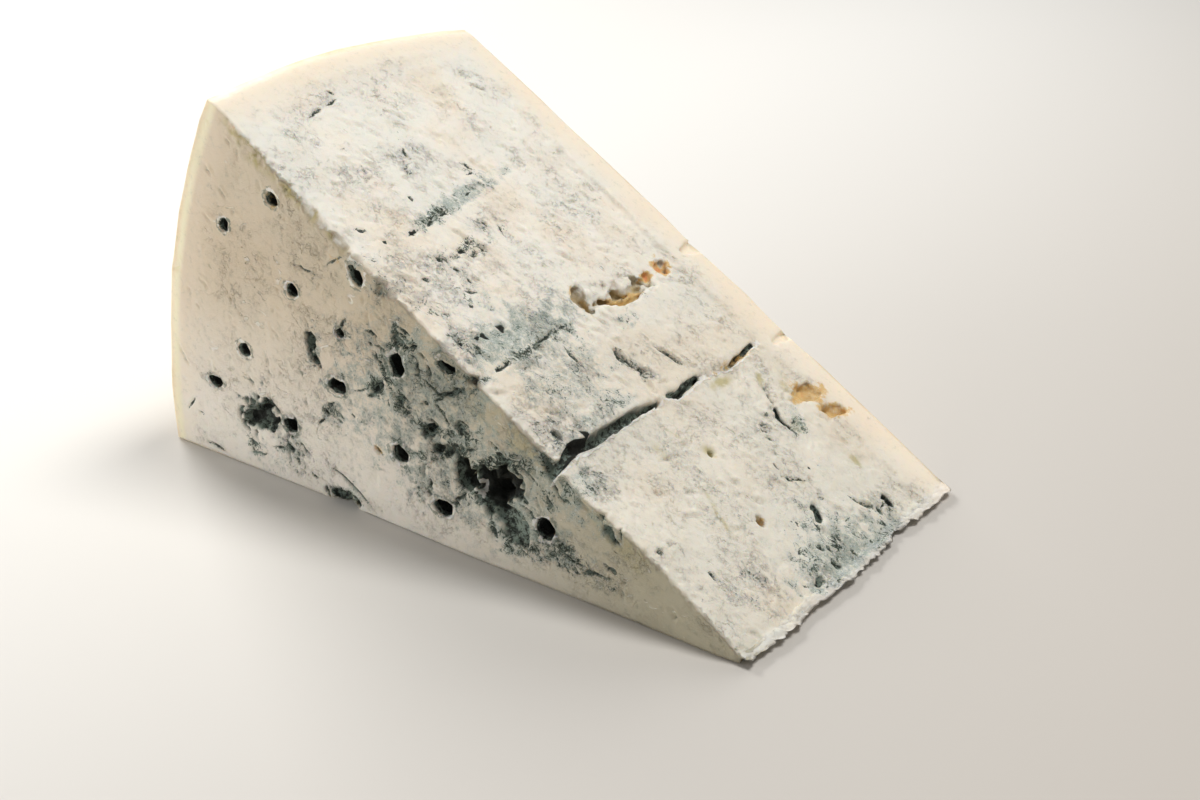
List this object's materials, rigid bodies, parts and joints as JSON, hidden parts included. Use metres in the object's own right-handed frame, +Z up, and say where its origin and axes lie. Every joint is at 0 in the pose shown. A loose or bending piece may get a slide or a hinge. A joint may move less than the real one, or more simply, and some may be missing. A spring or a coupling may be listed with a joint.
{
  "type": "gorgonzola wedge",
  "caption": "Wedge of blue-veined soft cheese lying on its side, from rind to thin end, with needle holes, mould-lined hollows and a crack across its torn upper cut.",
  "frame": {"origin": "middle of the bounding box of the base, on the surface that the wedge lies on", "axes": "+X along the base from the rind to the thin end, +Y along the wheel's axis from the halving cut to the wheel's flat face, +Z up"},
  "size_m": [0.16, 0.0816, 0.0842],
  "materials": {
    "paste": "soft matt ivory paste with blue-green mould"
  },
  "bodies": {
    "root": {"gorgonzola_wedge": "paste"}
  },
  "joints": []
}
